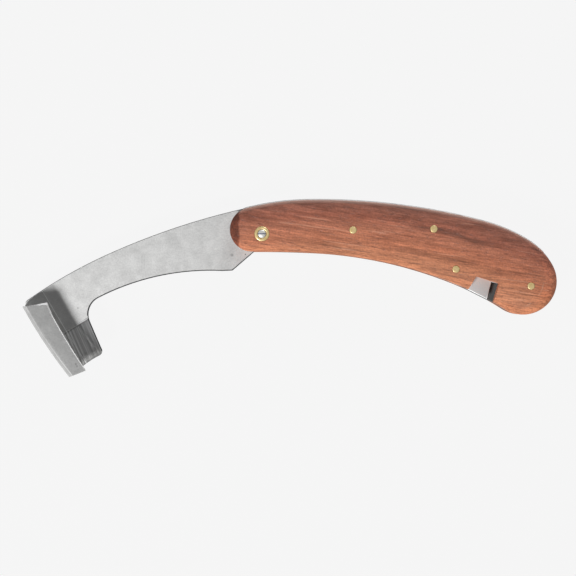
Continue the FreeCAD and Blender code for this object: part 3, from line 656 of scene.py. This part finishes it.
def lathe(name, profile, steps=48):
    """A turned part about a node's axis from (radius, height) pairs in mm; heights are world."""
    low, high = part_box(name)
    middle = (low + high) / 2
    mesh = bmesh.new()
    closed = profile[0][0] > 0 and profile[-1][0] > 0
    rings = []
    for radius, height in profile:
        if radius == 0:
            rings.append([mesh.verts.new((middle.x, middle.y, height * MM))])
            continue
        ring = []
        for step in range(steps):
            angle = math.tau * step / steps
            x = middle.x + math.cos(angle) * radius * MM
            y = middle.y + math.sin(angle) * radius * MM
            ring.append(mesh.verts.new((x, y, height * MM)))
        rings.append(ring)
    pairs = list(zip(rings, rings[1:]))
    if closed:
        pairs.append((rings[-1], rings[0]))
    for first, second in pairs:
        for step in range(steps):
            after = (step + 1) % steps
            corners = [first[step % len(first)], first[after % len(first)]]
            corners += [second[after % len(second)], second[step % len(second)]]
            mesh.faces.new(list(dict.fromkeys(corners)))
    bmesh.ops.recalc_face_normals(mesh, faces=mesh.faces)
    return mesh


for name in ("middle_pin", "spring_pin", "stop_pin", "butt_pin"):
    low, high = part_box(name)
    centre = in_mm((low + high) / 2)
    bottom = low.z / MM
    top = scale_high.z / MM - crown(centre.x, centre.y)
    profile = [(0, bottom), (1.25, bottom), (PIN_RADIUS, bottom + 0.18), (PIN_RADIUS, top - 0.24)]
    profile += [(1.43, top - 0.05), (1.25, top + 0.03), (0.7, top + 0.06), (0, top + 0.07)]
    place_piece(name + "_piece", lathe(name, profile), BRASS, "handle", "brass", name)

for name, side in (("front_pivot_collar", 1), ("back_pivot_collar", -1)):
    low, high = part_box(name)
    radius = (high.x - low.x) / 2 / MM
    flat = (high if side > 0 else low).z / MM
    inner = (low if side > 0 else high).z / MM
    profile = [(COLLAR_BORE, inner), (radius, inner), (radius, flat - 0.34 * side)]
    profile += [(radius - 0.14, flat - 0.12 * side), (radius - 0.45, flat), (2.05, flat)]
    profile += [(1.80, flat - 0.10 * side), (COLLAR_BORE, flat - 0.25 * side)]
    place_piece(name + "_piece", lathe(name, profile), BRASS, "handle", "brass", name)

low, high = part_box("pivot_pin")
bottom, top = low.z / MM, high.z / MM
profile = [(0, bottom), (0.9, bottom + 0.06), (1.4, bottom + 0.24), (PIVOT_RADIUS, bottom + 0.45)]
profile += [(PIVOT_RADIUS, top - 0.45), (1.4, top - 0.24), (0.9, top - 0.06), (0, top)]
place_piece("pivot_pin_piece", lathe("pivot_pin", profile), PIVOT_STEEL, "handle", "pivot_steel", "pivot_pin")


# ---------------------------------------------------------------- stage, light, camera


def make_floor():
    """A plain pale floor under the tool. It glows evenly, so it carries no glare and no shadow."""
    mesh = bpy.data.meshes.new("floor")
    side = 12.0
    corners = [(-side, -side, 0), (side, -side, 0), (side, side, 0), (-side, side, 0)]
    mesh.from_pydata(corners, [], [(0, 1, 2, 3)])
    floor = bpy.data.objects.new("floor", mesh)
    bpy.context.scene.collection.objects.link(floor)
    floor.location.z = cad_low.z - 0.0002
    floor.visible_glossy = False
    material = bpy.data.materials.new("pale floor")
    material.use_nodes = True
    shader = material.node_tree.nodes["Principled BSDF"]
    shader.inputs["Base Color"].default_value = (0.01, 0.01, 0.01, 1)
    shader.inputs["Roughness"].default_value = 0.9
    shader.inputs["Specular IOR Level"].default_value = 0.0
    shader.inputs["Emission Color"].default_value = (1, 1, 1, 1)
    shader.inputs["Emission Strength"].default_value = 0.905
    mesh.materials.append(material)


def area_light(name, azimuth, elevation, distance, size, power):
    """A round lamp aimed at the tool; azimuth is counted from +X towards +Y."""
    data = bpy.data.lights.new(name, "AREA")
    data.shape = "DISK"
    data.size = size
    data.energy = power
    lamp = bpy.data.objects.new(name, data)
    bpy.context.scene.collection.objects.link(lamp)
    a = math.radians(azimuth)
    e = math.radians(elevation)
    out = Vector((math.cos(a) * math.cos(e), math.sin(a) * math.cos(e), math.sin(e)))
    lamp.location = out * distance
    lamp.rotation_euler = out.to_track_quat("Z", "Y").to_euler()


def make_camera():
    """Straight above the tool, a little over half a metre away."""
    height = 620.0
    view_width = 230.4
    data = bpy.data.cameras.new("camera")
    data.sensor_width = 36.0
    data.lens = data.sensor_width * height / view_width
    data.clip_start = 0.05
    data.clip_end = 20.0
    camera = bpy.data.objects.new("camera", data)
    bpy.context.scene.collection.objects.link(camera)
    camera.location = at(10.3, -21.4, height)
    bpy.context.scene.camera = camera


make_floor()
area_light("key", 234, 42, 1.2, 0.32, 16.0)
area_light("rim", 70, 15, 1.5, 0.9, 13.0)
world = bpy.data.worlds.new("studio")
world.use_nodes = True
world.node_tree.nodes["Background"].inputs["Color"].default_value = (1, 1, 1, 1)
world.node_tree.nodes["Background"].inputs["Strength"].default_value = 0.10
bpy.context.scene.world = world
bpy.context.scene.view_settings.view_transform = "Standard"
make_camera()
